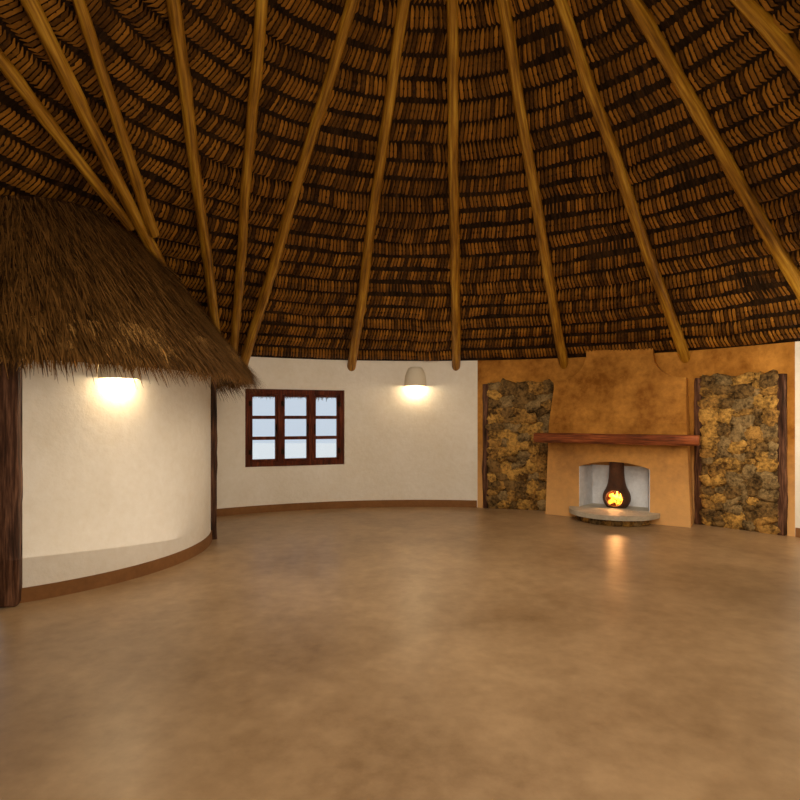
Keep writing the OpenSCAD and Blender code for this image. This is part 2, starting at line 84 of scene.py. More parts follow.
PURE_WHITE = (1, 1, 1, 1)
PURE_BLACK = (0, 0, 0, 1)


def feed(tree, socket, value):
    """Links another node's output to a socket, or sets the socket's own value."""
    if isinstance(value, bpy.types.NodeSocket):
        tree.links.new(value, socket)
    else:
        socket.default_value = value


def add_node(tree, kind, given=None, **settings):
    node = tree.nodes.new(kind)
    for name, value in settings.items():
        setattr(node, name, value)
    for name, value in (given or {}).items():
        feed(tree, node.inputs[name], value)
    return node


def add_group(tree, group, given):
    return add_node(tree, "ShaderNodeGroup", given, node_tree=group).outputs


def start_group(name, inputs, outputs):
    """A shader group that takes a vector and named inputs, each a float or a colour."""
    tree = bpy.data.node_groups.new(name, "ShaderNodeTree")
    tree.interface.new_socket("Vector", in_out="INPUT", socket_type="NodeSocketVector")
    for label, default in inputs.items():
        kind = "Float" if isinstance(default, float) else "Color"
        socket = tree.interface.new_socket(label, in_out="INPUT", socket_type="NodeSocket" + kind)
        socket.default_value = default
    for label, kind in outputs.items():
        tree.interface.new_socket(label, in_out="OUTPUT", socket_type="NodeSocket" + kind)
    given = tree.nodes.new("NodeGroupInput").outputs
    return tree, given, tree.nodes.new("NodeGroupOutput").inputs


def math_node(tree, operation, first, second=0.0):
    return add_node(tree, "ShaderNodeMath", {0: first, 1: second}, operation=operation).outputs[0]


def mix_colour(tree, mask, first, second, blend="MIX"):
    node = add_node(tree, "ShaderNodeMix", {0: mask, 6: first, 7: second},
                    data_type="RGBA", blend_type=blend)
    return node.outputs[2]


def clamp(tree, value):
    return add_node(tree, "ShaderNodeClamp", {"Value": value}).outputs[0]


def add_noise(tree, vector, scale, detail, roughness):
    return add_node(tree, "ShaderNodeTexNoise", {
        "Vector": vector, "Scale": scale, "Detail": detail, "Roughness": roughness}).outputs["Fac"]


def make_mottle():
    """Soft patches of two colours, with a height that follows them."""
    tree, given, out = start_group(
        "mottle",
        {"Patch scale": 2.0, "Fine scale": 30.0, "Fine share": 0.3, "Contrast": 1.0,
         "Light colour": PURE_WHITE, "Dark colour": PURE_BLACK},
        {"Colour": "Color", "Height": "Float"})
    patch = add_noise(tree, given["Vector"], given["Patch scale"], 5.0, 0.6)
    fine = add_noise(tree, given["Vector"], given["Fine scale"], 4.0, 0.65)
    blend = add_node(tree, "ShaderNodeMix", {0: given["Fine share"], 2: patch, 3: fine}).outputs[0]
    off_middle = math_node(tree, "SUBTRACT", blend, 0.5)
    spread = math_node(tree, "MULTIPLY", off_middle, given["Contrast"])
    mask = clamp(tree, math_node(tree, "ADD", math_node(tree, "MULTIPLY", spread, 2.2), 0.5))
    colour = mix_colour(tree, mask, given["Dark colour"], given["Light colour"])
    tree.links.new(colour, out["Colour"])
    tree.links.new(blend, out["Height"])
    return tree


def make_fibre():
    """Long thin streaks along the vector's Y: straw or timber grain, from dark to light."""
    tree, given, out = start_group(
        "fibre",
        {"Across": 60.0, "Along": 2.0, "Light colour": PURE_WHITE,
         "Middle colour": (0.5, 0.5, 0.5, 1), "Dark colour": PURE_BLACK},
        {"Colour": "Color", "Height": "Float"})
    split = add_node(tree, "ShaderNodeSeparateXYZ", {0: given["Vector"]}).outputs
    heights = []
    for stretch, offset in ((1.0, 0.0), (0.23, 7.3)):
        across = math_node(tree, "MULTIPLY", given["Across"], stretch)
        along = math_node(tree, "MULTIPLY", given["Along"], stretch + 0.4)
        moved = math_node(tree, "ADD", math_node(tree, "MULTIPLY", split[0], across), offset)
        drawn = math_node(tree, "MULTIPLY", split[1], along)
        deep = math_node(tree, "MULTIPLY", split[2], across)
        joined = add_node(tree, "ShaderNodeCombineXYZ", {0: moved, 1: drawn, 2: deep})
        heights.append(add_noise(tree, joined.outputs[0], 1.0, 4.0, 0.6))
    total = math_node(tree, "ADD", math_node(tree, "MULTIPLY", heights[0], 0.6),
                      math_node(tree, "MULTIPLY", heights[1], 0.4))
    ramp = add_node(tree, "ShaderNodeMapRange", {
        "Value": total, "From Min": 0.36, "From Max": 0.64, "To Min": 0.0, "To Max": 2.0})
    low = clamp(tree, ramp.outputs[0])
    high = clamp(tree, math_node(tree, "SUBTRACT", ramp.outputs[0], 1.0))
    colour = mix_colour(tree, low, given["Dark colour"], given["Middle colour"])
    colour = mix_colour(tree, high, colour, given["Light colour"])
    tree.links.new(colour, out["Colour"])
    tree.links.new(total, out["Height"])
    return tree


def make_cone_vector():
    """Turns object coordinates into (arc length, distance from the centre)."""
    tree, given, out = start_group(
        "cone vector", {"Centre X": 0.0, "Centre Y": 0.0, "Turns to metres": 3.5},
        {"Vector": "Vector"})
    split = add_node(tree, "ShaderNodeSeparateXYZ", {0: given["Vector"]}).outputs
    x = math_node(tree, "SUBTRACT", split[0], given["Centre X"])
    y = math_node(tree, "SUBTRACT", split[1], given["Centre Y"])
    turn = math_node(tree, "ARCTAN2", y, x)
    arc = math_node(tree, "MULTIPLY", turn, given["Turns to metres"])
    square = math_node(tree, "ADD", math_node(tree, "MULTIPLY", x, x),
                       math_node(tree, "MULTIPLY", y, y))
    far = math_node(tree, "SQRT", square)
    joined = add_node(tree, "ShaderNodeCombineXYZ", {0: arc, 1: far, 2: 0.0})
    tree.links.new(joined.outputs[0], out["Vector"])
    return tree


MOTTLE = make_mottle()
FIBRE = make_fibre()
CONE_VECTOR = make_cone_vector()

def rgb(red, green, blue):
    """A colour as it looks on a screen, 0 to 255, as the shader's linear values."""
    def linear(value):
        value /= 255
        return value / 12.92 if value <= 0.04045 else ((value + 0.055) / 1.055) ** 2.4
    return (linear(red), linear(green), linear(blue), 1.0)


def start_material(name, roughness, **sockets):
    material = bpy.data.materials.new(name)
    material.use_nodes = True
    tree = material.node_tree
    shader = tree.nodes["Principled BSDF"]
    shader.inputs["Roughness"].default_value = roughness
    for label, value in sockets.items():
        shader.inputs[label.replace("_", " ")].default_value = value
    return material, tree, shader


def add_place(tree):
    return add_node(tree, "ShaderNodeTexCoord").outputs["Object"]


def dress(tree, shader, colour, height=None, depth=0.0, strength=1.0):
    """Feeds the shader its colour and, where a height is given, a bump of a depth in metres."""
    tree.links.new(colour, shader.inputs["Base Color"])
    if height is not None:
        bump = add_node(tree, "ShaderNodeBump", {
            "Height": height, "Distance": depth, "Strength": strength})
        tree.links.new(bump.outputs[0], shader.inputs["Normal"])


def add_mottle(tree, vector, light, dark, patch, fine, share, contrast):
    return add_group(tree, MOTTLE, {
        "Vector": vector, "Patch scale": patch, "Fine scale": fine, "Fine share": share,
        "Contrast": contrast, "Light colour": light, "Dark colour": dark})


def add_fibre(tree, vector, across, along, tones):
    """The streaks of straw or grain, from three screen colours: light, middle and dark."""
    light, middle, dark = tones
    return add_group(tree, FIBRE, {
        "Vector": vector, "Across": across, "Along": along, "Light colour": rgb(*light),
        "Middle colour": rgb(*middle), "Dark colour": rgb(*dark)})


def mottled(name, light, dark, patch, fine, share, contrast, roughness, depth, strength=1.0):
    """Plaster, cement, stone or clay: soft patches of two colours, and a bump that follows them."""
    material, tree, shader = start_material(name, roughness)
    look = add_mottle(tree, add_place(tree), rgb(*light), rgb(*dark), patch, fine, share, contrast)
    dress(tree, shader, look["Colour"], look["Height"], depth, strength)
    return material


def cone_fibre(name, across, along, *tones, centre=Vector((0, 0, 0)), metres=3.5):
    """Straw that runs down a cone about a centre."""
    material, tree, shader = start_material(name, 0.95)
    where = add_place(tree)
    turned = add_group(tree, CONE_VECTOR, {
        "Vector": where, "Centre X": centre.x, "Centre Y": centre.y, "Turns to metres": metres})
    look = add_fibre(tree, turned["Vector"], across, along, tones)
    patches = add_mottle(tree, where, PURE_WHITE, (0.45, 0.42, 0.4, 1), 1.3, 9.0, 0.4, 1.6)
    colour = mix_colour(tree, 0.7, look["Colour"], patches["Colour"], "MULTIPLY")
    dress(tree, shader, colour, look["Height"], 0.03)
    return material


def grained(name, across, along, roughness, depth, turn, *tones, coordinates="Object"):
    """Timber whose grain runs along the vector's Y after a turn."""
    material, tree, shader = start_material(name, roughness)
    where = add_node(tree, "ShaderNodeTexCoord").outputs[coordinates]
    mapped = add_node(tree, "ShaderNodeMapping", {"Vector": where, "Rotation": turn})
    look = add_fibre(tree, mapped.outputs[0], across, along, tones)
    dress(tree, shader, look["Colour"], look["Height"], depth)
    return material


def straw(name, scale, *tones):
    """Single straws: each has its own tone, with streaks from where it is."""
    material, tree, shader = start_material(name, 0.8)
    where = add_place(tree)
    look = add_fibre(tree, where, scale, scale, tones)
    own = add_node(tree, "ShaderNodeNewGeometry").outputs["Random Per Island"]
    tone = mix_colour(tree, own, rgb(*tones[2]), rgb(*tones[0]))
    patches = add_mottle(tree, where, PURE_WHITE, (0.5, 0.46, 0.42, 1), 0.9, 5.0, 0.4, 1.5)
    colour = mix_colour(tree, 0.78, look["Colour"], tone)
    dress(tree, shader, mix_colour(tree, 0.8, colour, patches["Colour"], "MULTIPLY"))
    return material


def pale_below(material, pale, height, share):
    """Plaster painted paler towards the floor, as painted light on the lower wall."""
    tree = material.node_tree
    shader = tree.nodes["Principled BSDF"]
    up = add_node(tree, "ShaderNodeSeparateXYZ", {"Vector": add_place(tree)}).outputs["Z"]
    painted_light_share = add_node(tree, "ShaderNodeMapRange", {
        "Value": up, "From Min": FLOOR_TOP, "From Max": height, "To Min": share, "To Max": 0.0})
    look = shader.inputs["Base Color"].links[0].from_socket
    dress(tree, shader, mix_colour(tree, painted_light_share.outputs[0], look, pale))


def plain(name, roughness, **sockets):
    return start_material(name, roughness, **sockets)[0]


def glowing(name, colour, strength):
    return plain(name, 0.6, Base_Color=colour, Emission_Color=colour, Emission_Strength=strength)


def make_ember():
    """Logs that glow in their cracks."""
    material, tree, shader = start_material("burning log", 0.9, Emission_Strength=5.0)
    look = add_mottle(tree, add_place(tree), rgb(255, 150, 40), rgb(36, 20, 14),
                      16.0, 60.0, 0.4, 2.6)
    dress(tree, shader, look["Colour"])
    tree.links.new(look["Colour"], shader.inputs["Emission Color"])
    return material


# ---- finishes ----

# Light and dark colour, patch scale, fine scale and its share, contrast, roughness, and the
# bump's depth in metres and strength
WHITE = mottled(
    "white plaster", (248, 242, 230), (226, 214, 192), 1.1, 14.0, 0.35, 0.9, 0.9, 0.03, 0.5)
OCHRE = mottled(
    "ochre plaster", (200, 138, 60), (131, 79, 23), 1.8, 12.0, 0.35, 1.7, 0.85, 0.02, 0.5)
# Painted light: the ochre is made paler towards the floor, where more light falls on the chimney
# breast
pale_below(OCHRE, rgb(238, 186, 122), 1.25, 0.75)
LAMP_WHITE = mottled(
    "lamp plaster", (240, 230, 208), (224, 210, 182), 3.0, 40.0, 0.5, 0.7, 0.9, 0.006, 0.5)
CEMENT = mottled(
    "floor cement", (180, 148, 110), (130, 101, 69), 0.8, 8.0, 0.35, 1.4, 0.36, 0.006, 0.3)
HEARTH_CEMENT = mottled(
    "hearth cement", (206, 196, 176), (158, 144, 122), 3.0, 30.0, 0.4, 1.0, 0.6, 0.006)
SKIRTING = mottled(
    "skirting cement", (150, 104, 62), (112, 74, 42), 2.0, 20.0, 0.4, 1.0, 0.7, 0.004)
# The mortar is partly its own colour and partly painted shade, made dark as the shade in the deep
# seams between the stones
MORTAR = mottled("mortar", (120, 96, 62), (48, 36, 22), 7.0, 40.0, 0.5, 1.8, 0.95, 0.02)
CLAY = mottled("fired clay", (104, 66, 44), (54, 36, 28), 7.0, 50.0, 0.4, 1.2, 0.6, 0.004)
FIREBOX_WHITE = mottled(
    "firebox whitewash", (250, 252, 255), (206, 206, 208), 3.5, 24.0, 0.3, 1.2, 0.9, 0.006)
# The golden patches in each stone are partly its own tone and partly painted highlight where its
# faces catch the lamps; the dark patches are partly painted shade
STONES = {
    name: mottled(name + " field stone", light, dark, patch, fine, 0.5, contrast, 0.85, 0.04)
    for name, light, dark, patch, fine, contrast in (
        ("brown", (190, 142, 72), (70, 48, 24), 5.0, 26.0, 2.3),
        ("grey", (166, 136, 88), (74, 57, 34), 5.5, 30.0, 2.2),
        ("gold", (208, 158, 78), (84, 59, 30), 4.5, 24.0, 2.5),
        ("dark", (146, 112, 64), (50, 36, 20), 5.5, 28.0, 2.2))}

# Streaks across and along, then the light, middle and dark colour
OUTER_THATCH = cone_fibre("outer thatch", 38.0, 1.4, (172, 146, 104), (128, 104, 70), (72, 56, 38))
# Painted shade: the thatch's room side and the rope cores are made dark as the shade between the
# rope rows and between the strands
PAINTED_SHADE_THATCH = cone_fibre("inner thatch painted shade", 30.0, 2.0, (70, 46, 22), (40, 25, 12), (14, 8, 4))
HOOD_THATCH = cone_fibre(
    "hood thatch", 40.0, 2.0, (110, 76, 42), (64, 42, 24), (24, 15, 9), centre=PORCH, metres=2.2)
ROPE_GRASS = straw("rope grass", 26.0, (190, 126, 40), (114, 67, 18), (42, 22, 6))
HOOD_GRASS = straw("hood grass", 22.0, (172, 122, 62), (96, 64, 32), (32, 20, 10))
HOOD_ENDS = straw("hood grass ends", 22.0, (226, 170, 94), (142, 98, 50), (50, 32, 16))
EAVE_GRASS = straw("eave grass", 24.0, (176, 150, 106), (126, 100, 64), (66, 50, 32))

# Timber has its roughness, bump depth and turn between the streaks and the colours
UPRIGHT = (pi / 2, 0, 0)
ALONG_HEARTH = (0, 0, pi / 2 - HEARTH_TURN + pi / 2)
POLE_WOOD = grained("peeled pole", 7.0, 1.4, 0.5, 0.004, (0, 0, 0),
                    (206, 156, 50), (158, 108, 26), (82, 48, 10), coordinates="UV")
RED_WOOD = grained(
    "stained timber", 60.0, 3.0, 0.4, 0.002, UPRIGHT, (122, 60, 34), (86, 36, 20), (44, 18, 10))
LEVEL_RED_WOOD = grained("stained level timber", 50.0, 2.5, 0.42, 0.003, ALONG_HEARTH,
                         (170, 92, 48), (122, 60, 28), (62, 28, 12))
DARK_WOOD = grained(
    "rough dark timber", 40.0, 2.0, 0.7, 0.012, UPRIGHT, (132, 92, 68), (76, 48, 34), (24, 15, 11))

GLASS = plain(
    "window glass", 0.03, Transmission_Weight=1.0, IOR=1.45, Base_Color=(0.97, 0.99, 0.98, 1))
STEEL = plain("dark iron", 0.45, Metallic=1.0, Base_Color=rgb(70, 64, 58))
BULB = glowing("lamp bulb", rgb(255, 214, 150), 14.0)
FLAME = glowing("flame", rgb(255, 150, 40), 9.0)
EMBER = make_ember()

NODE_FINISH = {
    "floor_slab": CEMENT, "wall_hearth": OCHRE, "chimney": OCHRE, "chimney_cap": OCHRE,
    "chimney_stack": OCHRE, "hearth_slab": HEARTH_CEMENT, "hearth_base": MORTAR,
    "stone_panel_left": MORTAR, "stone_panel_right": MORTAR, "stove_pot": CLAY,
    "mantel": LEVEL_RED_WOOD, "window_glass": GLASS, "window_frame": RED_WOOD,
    "east_window_frame": RED_WOOD, "rear_window_frame": RED_WOOD, "entrance_frame": DARK_WOOD,
    "inner_door_posts": DARK_WOOD, "hearth_posts": DARK_WOOD, "porch_hood": HOOD_THATCH,
    "wall_lamps": LAMP_WHITE, "roof_hub": DARK_WOOD,
}


def finish_nodes():
    for name, node in nodes.items():
        finish = NODE_FINISH.get(name)
        if finish is None:
            finish = OUTER_THATCH if name.startswith("thatch") else WHITE
        node.data.materials.clear()
        node.data.materials.append(finish)
        if finish == OUTER_THATCH:
            # The side that faces the room, painted dark as the shade between the rope rows
            node.data.materials.append(PAINTED_SHADE_THATCH)
            for face in node.data.polygons:
                face.material_index = int(face.normal.z < -0.2)


finish_nodes()


# ---- modelling helpers ----

def pick(*pieces):
    bpy.ops.object.select_all(action="DESELECT")
    for piece in pieces:
        piece.select_set(True)
    bpy.context.view_layer.objects.active = pieces[0]


def add_primitive(kind, **sizes):
    bpy.ops.object.select_all(action="DESELECT")
    getattr(bpy.ops.mesh, "primitive_" + kind + "_add")(**sizes)
    return bpy.context.object


def edit(piece, select="SELECT"):
    pick(piece)
    bpy.ops.object.mode_set(mode="EDIT")
    bpy.ops.mesh.select_all(action=select)


def leave_edit():
    bpy.ops.object.mode_set(mode="OBJECT")


def apply_modifier(piece, kind, **settings):
    pick(piece)
    modifier = piece.modifiers.new(kind, kind)
    for name, value in settings.items():
        setattr(modifier, name, value)
    bpy.ops.object.modifier_apply(modifier=modifier.name)


def settle(piece):
    """Puts the object's place, turn and size into its mesh."""
    pick(piece)
    bpy.ops.object.transform_apply()
    return piece


def place(piece, matrix):
    piece.matrix_world = matrix @ piece.matrix_world
    return settle(piece)


def copy_of(piece):
    twin = piece.copy()
    twin.data = piece.data.copy()
    bpy.context.collection.objects.link(twin)
    return twin


def join(pieces):
    pick(*pieces)
    if len(pieces) > 1:
        bpy.ops.object.join()
    return bpy.context.object


def remove(*pieces):
    pick(*pieces)
    bpy.ops.object.delete()


def finish_piece(piece, name, material, smooth=None):
    """Names a piece, gives it its material and lets it ride; smooth is an angle in degrees."""
    piece.name = name
    piece.data.name = name
    piece.data.materials.clear()
    piece.data.materials.append(material)
    settle(piece)
    if smooth is not None:
        bpy.ops.object.shade_smooth_by_angle(angle=radians(smooth))
    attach(piece, "root")


def roughen(piece, strength, scale, direction="NORMAL"):
    """Pushes the piece's points about by soft noise of a scale, in metres."""
    texture = bpy.data.textures.new("lumps", type="CLOUDS")
    texture.noise_scale = scale
    texture.noise_depth = 1
    apply_modifier(piece, "DISPLACE", texture=texture, strength=strength, direction=direction,
                   texture_coords="LOCAL")


def cut_across(piece, spots, normal=Vector((0, 0, 1))):
    """Cuts a piece across at each spot along an axis, so that it can bend there."""
    edit(piece)
    for spot in spots:
        bpy.ops.mesh.select_all(action="SELECT")
        bpy.ops.mesh.bisect(plane_co=normal * spot, plane_no=normal)
    leave_edit()


def cut_away(piece, kind, unwanted):
    """Deletes the vertices ("VERT") or faces ("FACE") that pass the test."""
    edit(piece, "DESELECT")
    bpy.ops.mesh.select_mode(type=kind)
    leave_edit()
    for part in piece.data.vertices if kind == "VERT" else piece.data.polygons:
        part.select = unwanted(part)
    bpy.ops.object.mode_set(mode="EDIT")
    bpy.ops.mesh.delete(type=kind)
    leave_edit()


def spin(steps, angle, copies=False):
    """In edit mode: spins the piece about Z. A positive angle turns it clockwise."""
    bpy.ops.mesh.spin(steps=steps, dupli=copies, angle=angle, center=(0, 0, 0), axis=(0, 0, 1))


def close_up():
    """In edit mode: merges the seam, turns the faces outward and leaves edit mode."""
    bpy.ops.mesh.select_all(action="SELECT")
    bpy.ops.mesh.remove_doubles(threshold=0.0005)
    bpy.ops.mesh.normals_make_consistent(inside=False)
    leave_edit()


def model_block(size, middle):
    """A cuboid about its middle, the start of a plank, a beam, a bar or a lining."""
    block = add_primitive("cube", size=1)
    block.scale = size
    block.location = middle
    return settle(block)


def shift(x, y, z):
    return Matrix.Translation((x, y, z))


def rotate(angle, axis="Z"):
    return Matrix.Rotation(angle, 4, axis)


def between(start, end):
    """Stands a piece's Z axis on start, pointing at end."""
    run = end - start
    return Matrix.Translation(start) @ run.to_track_quat("Z", "Y").to_matrix().to_4x4()


# ---- roof: poles, and the grass rope that binds the thatch over them ----

POLE_FOOT_R = 0.062
POLE_HEAD_R = 0.042
POLE_BARK = 0.007
POLE_HEAD_FAR = 0.34
POLE_FOOT_FAR = ROOM_R + 0.2
POLE_TURNS = [radians(12 + 18 * k) for k in range(20) if not 7 <= k <= 9]
POLE_CUT = 0.16
KNOT_STEP = 1.1
KNOT_R = 0.13
KNOT_H = 0.014
SIDE_POLE_R = 0.042
CORNER_TAPER = 0.15
CORNER_FOOT_FAR = 5.28


def under_thatch(turn, r, pole_r):
    """Point on the centre line of a pole that lies against the thatch."""
    return polar(r, turn, roof_under(r) - pole_r / cos(PITCH))


def model_pole(foot, head, foot_r, head_r):
    length = (head - foot).length
    foot_r, head_r = foot_r + POLE_BARK, head_r + POLE_BARK
    pole = add_primitive("cone", vertices=14, radius1=foot_r, radius2=head_r, depth=length,
                         location=(0, 0, length / 2))
    settle(pole)
    cuts = round(length / POLE_CUT)
    cut_across(pole, [length * k / cuts for k in range(1, cuts)])
    # The grain follows the pole: across in U, the real length in V, with its own shift
    shift = draw.uniform(0, 40)
    for loop, uv in zip(pole.data.loops, pole.data.uv_layers.active.data):
        spot = pole.data.vertices[loop.vertex_index].co
        around = atan2(spot.y, spot.x) / pi
        uv.uv = (abs(around) + shift, spot.z + shift)
    # Knots: short bulges where a branch was cut
    for _ in range(round(length / KNOT_STEP)):
        at = draw.uniform(0.06, 0.94) * length
        side = draw.uniform(0, 2 * pi)
        pole_r = foot_r + (head_r - foot_r) * at / length
        centre = polar(1, side) * pole_r + Vector((0, 0, at))
        for vertex in pole.data.vertices:
            reach = (vertex.co - centre).length
            if reach < KNOT_R:
                out = Vector((vertex.co.x, vertex.co.y, 0)).normalized()
                vertex.co += out * KNOT_H * (1 - reach / KNOT_R)
    return place(pole, between(foot, head))


def finish_poles(poles, name, node):
    """Joins poles, bends them a little and gives them a rough skin."""
    piece = join(poles)
    for direction, strength, scale in (("X", 0.036, 1.6), ("Y", 0.036, 1.3), ("Z", 0.02, 1.5),
                                       ("NORMAL", 0.010, 0.16)):
        roughen(piece, strength, scale, direction)
    finish_piece(piece, name, POLE_WOOD, 50)
    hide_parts(node)


def make_poles():
    poles = []
    for turn in POLE_TURNS:
        foot = under_thatch(turn, POLE_FOOT_FAR, POLE_FOOT_R)
        head = under_thatch(turn, POLE_HEAD_FAR, POLE_HEAD_R)
        poles.append(model_pole(foot, head, POLE_FOOT_R, POLE_HEAD_R))
    finish_poles(poles, "bent_roof_poles", "roof_poles")


def beside_pole(pole, up, side):
    """Where a side pole rests against the long corner pole."""
    foot, head, foot_r = pole
    run = head - foot
    across = Vector((-run.y, run.x, 0)).normalized()
    return foot + up * run + side * (foot_r * (1 - CORNER_TAPER * up) + SIDE_POLE_R) * across


def make_corner_poles():
    """Three poles over the porch, and two side poles that lean on the longest of them."""
    poles = []
    # Turn of the foot, turn and distance of the head, radius
    for foot_turn, head_turn, head_far, size in (
            (121.6, 154.0, 1.55, 0.050), (123.5, 172.6, 2.015, 0.052),
            (125.4, 188.7, 2.725, 0.054)):
        poles.append((under_thatch(radians(foot_turn), CORNER_FOOT_FAR, size),
                      under_thatch(radians(head_turn), head_far, size), size))
    long_pole = poles[-1]
    for up, side, head_turn, head_far in ((0.52, 1, 184.4, 2.49), (0.54, -1, 185.4, 3.07)):
        head = under_thatch(radians(head_turn), head_far, SIDE_POLE_R)
        poles.append((beside_pole(long_pole, up, side), head, SIDE_POLE_R))
    finish_poles([model_pole(foot, head, size, size * (1 - CORNER_TAPER))
                  for foot, head, size in poles], "bent_corner_poles", "corner_poles")


ROPE_STEP = 0.215
ROPE_R = 0.105
ROPE_SINK = 0.060
FIRST_ROPE = 0.10
LAST_ROPE_R = 0.42
CORE_LIFT = 0.032
STRAND_STEP = 0.045
STRAND_HALF = ROPE_R * 1.15
STRAND_BOW = 0.74 * ROPE_R
STRAND_DROP = 0.84


def rope_rows():
    """Distance from the axis and height of the middle of each rope row, from the wall upwards."""
    rows = []
    along = FIRST_ROPE
    while True:
        r = ROOM_R - along * cos(PITCH)
        if r < LAST_ROPE_R:
            return rows
        rows.append((r, roof_under(r) + ROPE_SINK))
        along += ROPE_STEP


def sag_ropes(piece):
    """The rows wander a little, the same way for the cores and for the strands round them."""
    roughen(piece, 0.115, 0.75, "Z")


def make_rope_cores():
    rings = []
    for r, height in rope_rows():
        rings.append(add_primitive(
            "torus", major_radius=r + CORE_LIFT * sin(PITCH), minor_radius=ROPE_R,
            major_segments=120, minor_segments=8,
            location=(0, 0, height + CORE_LIFT * cos(PITCH))))
    piece = join(rings)
    settle(piece)
    sag_ropes(piece)
    # The dark cores are painted shade that shows between the strands
    finish_piece(piece, "rope_cores", PAINTED_SHADE_THATCH, 80)


def make_rope_strands():
    """Slanted strands round every rope, one modelled for each row and then spun round the roof."""
    rows = []
    for index, (r, height) in enumerate(rope_rows()):
        strand = add_primitive("uv_sphere", segments=4, ring_count=3, radius=1.0)
        strand.scale = (0.018, 0.0195, STRAND_HALF)
        settle(strand)
        for vertex in strand.data.vertices:
            vertex.co.x += STRAND_BOW * (vertex.co.z / STRAND_HALF) ** 2
        # Every third row slants the other way
        slant = rotate(radians(9 if index % 3 else -5), "X")
        lean = rotate(-(pi / 2 - PITCH), "Y")
        down = Vector((-sin(PITCH), 0, -cos(PITCH))) * ROPE_R * STRAND_DROP
        place(strand, Matrix.Translation(Vector((r, 0, height)) + down) @ lean @ slant)
        count = max(12, round(2 * pi * r / STRAND_STEP))
        start = 2 * pi * draw.random()
        place(strand, rotate(start))
        edit(strand)
        spin(count - 1, 2 * pi * (count - 1) / count, copies=True)
        leave_edit()
        rows.append(strand)
    piece = join(rows)
    roughen(piece, 0.030, 0.07, "Z")
    roughen(piece, 0.014, 0.09, "X")
    sag_ropes(piece)
    finish_piece(piece, "rope_strands", ROPE_GRASS, 60)


make_poles()
make_corner_poles()
make_rope_cores()
make_rope_strands()


# ---- grass: loose blades on the porch hood, fringes, and the eave ----

def model_blade(length, width, curl):
    """A flat pointed blade along X with a bend in it."""
    blade = add_primitive("plane", size=1)
    blade.scale = (length, width, 1)
    blade.location = (length / 2, 0, 0)
    settle(blade)
    cut_across(blade, [length * 0.5], Vector((1, 0, 0)))
    for vertex in blade.data.vertices:
        share = vertex.co.x / length
        vertex.co.y *= 1.0 - 0.85 * share ** 2
        vertex.co.z = -curl * share ** 2
    return blade


def scatter_blades(ground, blade, density, seed, centre, pitch, lift, spread, low, high):
    """Covers a surface with blades that point down the slope about a centre, then makes them a
    mesh. Spread and lift say how far they stray, low and high how their size varies."""
    tree = bpy.data.node_groups.new("scatter", "GeometryNodeTree")
    for way in ("INPUT", "OUTPUT"):
        tree.interface.new_socket("Geometry", in_out=way, socket_type="NodeSocketGeometry")
    given = tree.nodes.new("NodeGroupInput").outputs
    out = tree.nodes.new("NodeGroupOutput").inputs

    def vector_math(operation, first, second):
        return add_node(tree, "ShaderNodeVectorMath", {0: first, **second},
                        operation=operation).outputs[0]

    points = add_node(tree, "GeometryNodeDistributePointsOnFaces", {
        "Mesh": given[0], "Density": density, "Seed": seed})
    where = add_node(tree, "GeometryNodeInputPosition").outputs[0]
    arm = vector_math("SUBTRACT", where, {1: (centre.x, centre.y, 0)})
    flat = vector_math("MULTIPLY", arm, {1: (1, 1, 0)})
    unit = vector_math("NORMALIZE", flat, {})
    outward = vector_math("SCALE", unit, {"Scale": cos(pitch)})
    down = vector_math("ADD", outward, {1: (0, 0, -sin(pitch))})
    wander = add_node(tree, "FunctionNodeRandomValue", {
        0: (-spread, -spread, -spread * 0.5), 1: (spread, spread, lift), "Seed": seed + 1},
        data_type="FLOAT_VECTOR")
    aimed = vector_math("ADD", down, {1: wander.outputs[0]})
    first = add_node(tree, "FunctionNodeAlignEulerToVector", {"Vector": aimed}, axis="X")
    second = add_node(tree, "FunctionNodeAlignEulerToVector", {
        "Rotation": first.outputs[0], "Vector": points.outputs["Normal"]},
        axis="Z", pivot_axis="X")
    size = add_node(tree, "FunctionNodeRandomValue", {2: low, 3: high, "Seed": seed + 2},
                    data_type="FLOAT")
    shape = add_node(tree, "GeometryNodeObjectInfo", {"Object": blade})
    spots = add_node(tree, "GeometryNodeInstanceOnPoints", {
        "Points": points.outputs[0], "Instance": shape.outputs["Geometry"],
        "Rotation": second.outputs[0], "Scale": size.outputs[1]})
    real = add_node(tree, "GeometryNodeRealizeInstances", {"Geometry": spots.outputs[0]})
    tree.links.new(real.outputs[0], out[0])
    apply_modifier(ground, "NODES", node_group=tree)
    bpy.data.node_groups.remove(tree)
    remove(blade)


def ring_band(centre, inner, outer, inner_h, outer_h, start, end, steps):
    """A band of a cone between two radii, spun through an angle about a centre."""
    band = add_primitive("plane", size=1)
    for vertex, spot in zip(band.data.vertices, ((inner, 0, inner_h), (outer, 0, outer_h))):
        vertex.co = spot
    cut_away(band, "VERT", lambda vertex: vertex.index > 1)
    edit(band)
    spin(steps, start - end)
    close_up()
    return place(band, Matrix.Translation(centre) @ rotate(start))


HUT_AXIS = Vector((0, 0, 0))


def hood_height(far):
    return HOOD_TOP + (HOOD_R - far) * tan(HOOD_PITCH)


def from_axis(spot):
    return hypot(spot.x, spot.y)


def make_hood_grass():
    grass = copy_of(nodes["porch_hood"])
    cut_away(grass, "FACE", lambda face: not face.normal.z > 0.3)
    scatter_blades(grass, model_blade(0.32, 0.0105, 0.03), density=2600.0, seed=3, centre=PORCH,
                   pitch=HOOD_PITCH, lift=0.30, spread=0.16, low=0.6, high=1.25)

    def in_the_room(spot):
        far = from_axis(spot)
        return spot.z < roof_under(far) - 0.02 and far < ROOM_R - 0.02
    cut_away(grass, "FACE", lambda face: not in_the_room(face.center))
    finish_piece(grass, "hood_grass", HOOD_GRASS)


